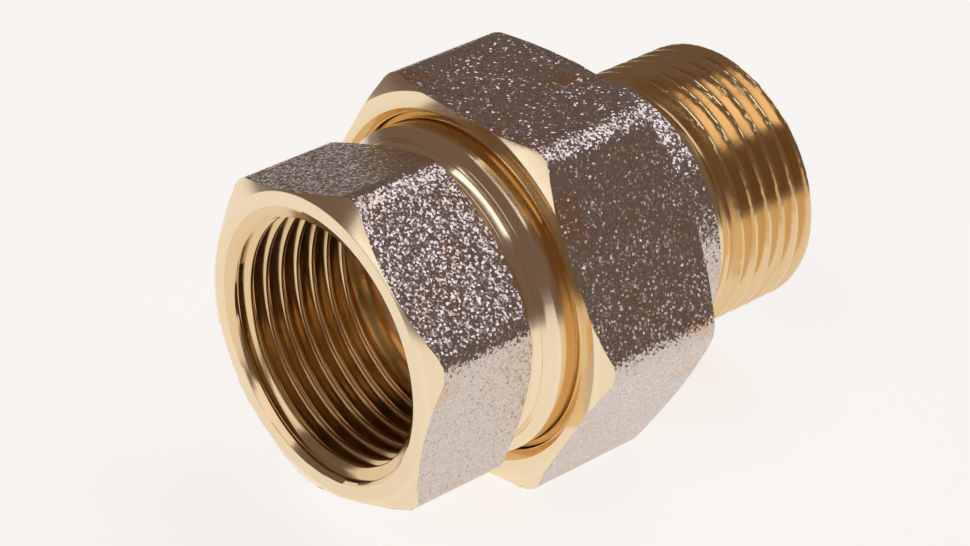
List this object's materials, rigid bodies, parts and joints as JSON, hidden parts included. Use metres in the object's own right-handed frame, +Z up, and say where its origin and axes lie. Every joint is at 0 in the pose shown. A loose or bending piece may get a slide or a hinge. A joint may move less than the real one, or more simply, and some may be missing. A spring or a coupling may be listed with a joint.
{
  "type": "pipe union",
  "caption": "Brass pipe union: a hexagonal female threaded body, a large union nut, a flat gasket and a male threaded tail that swivels inside the nut.",
  "frame": {"origin": "centre of the open face of the female end, on the pipe axis", "axes": "+X along the pipe axis from the female end to the male end, +Z up along the normal of the union nut's upper flat, +Y completes the right-handed frame"},
  "size_m": [0.0507, 0.0412, 0.0364],
  "materials": {
    "body_brass": "turned brass, shot-blasted forged flats",
    "nut_brass": "turned brass, shot-blasted forged flats",
    "gasket_fibre": "pressed fibre sheet",
    "tail_brass": "turned brass thread"
  },
  "bodies": {
    "female_body": {"female_body": "body_brass"},
    "seal": {"gasket": "gasket_fibre"},
    "union_nut": {"union_nut": "nut_brass"},
    "male_tail": {"male_tail": "tail_brass"}
  },
  "joints": [
    {"name": "seal_slide", "type": "slide", "parent": "female_body", "child": "seal", "axis": [1, 0, 0], "range_m": [0, 0.00808]},
    {"name": "nut_turn", "type": "hinge", "parent": "seal", "child": "union_nut", "pos_m": [0.0238, 0, 0], "axis": [1, 0, 0], "range_deg": [0, 1260]},
    {"name": "tail_swivel", "type": "hinge", "parent": "seal", "child": "male_tail", "pos_m": [0.0285, 0, 0], "axis": [1, 0, 0], "continuous": true}
  ],
  "couplings": [
    {"joint": "nut_turn", "follows": "seal_slide", "rad_per_m": 2721.1}
  ]
}
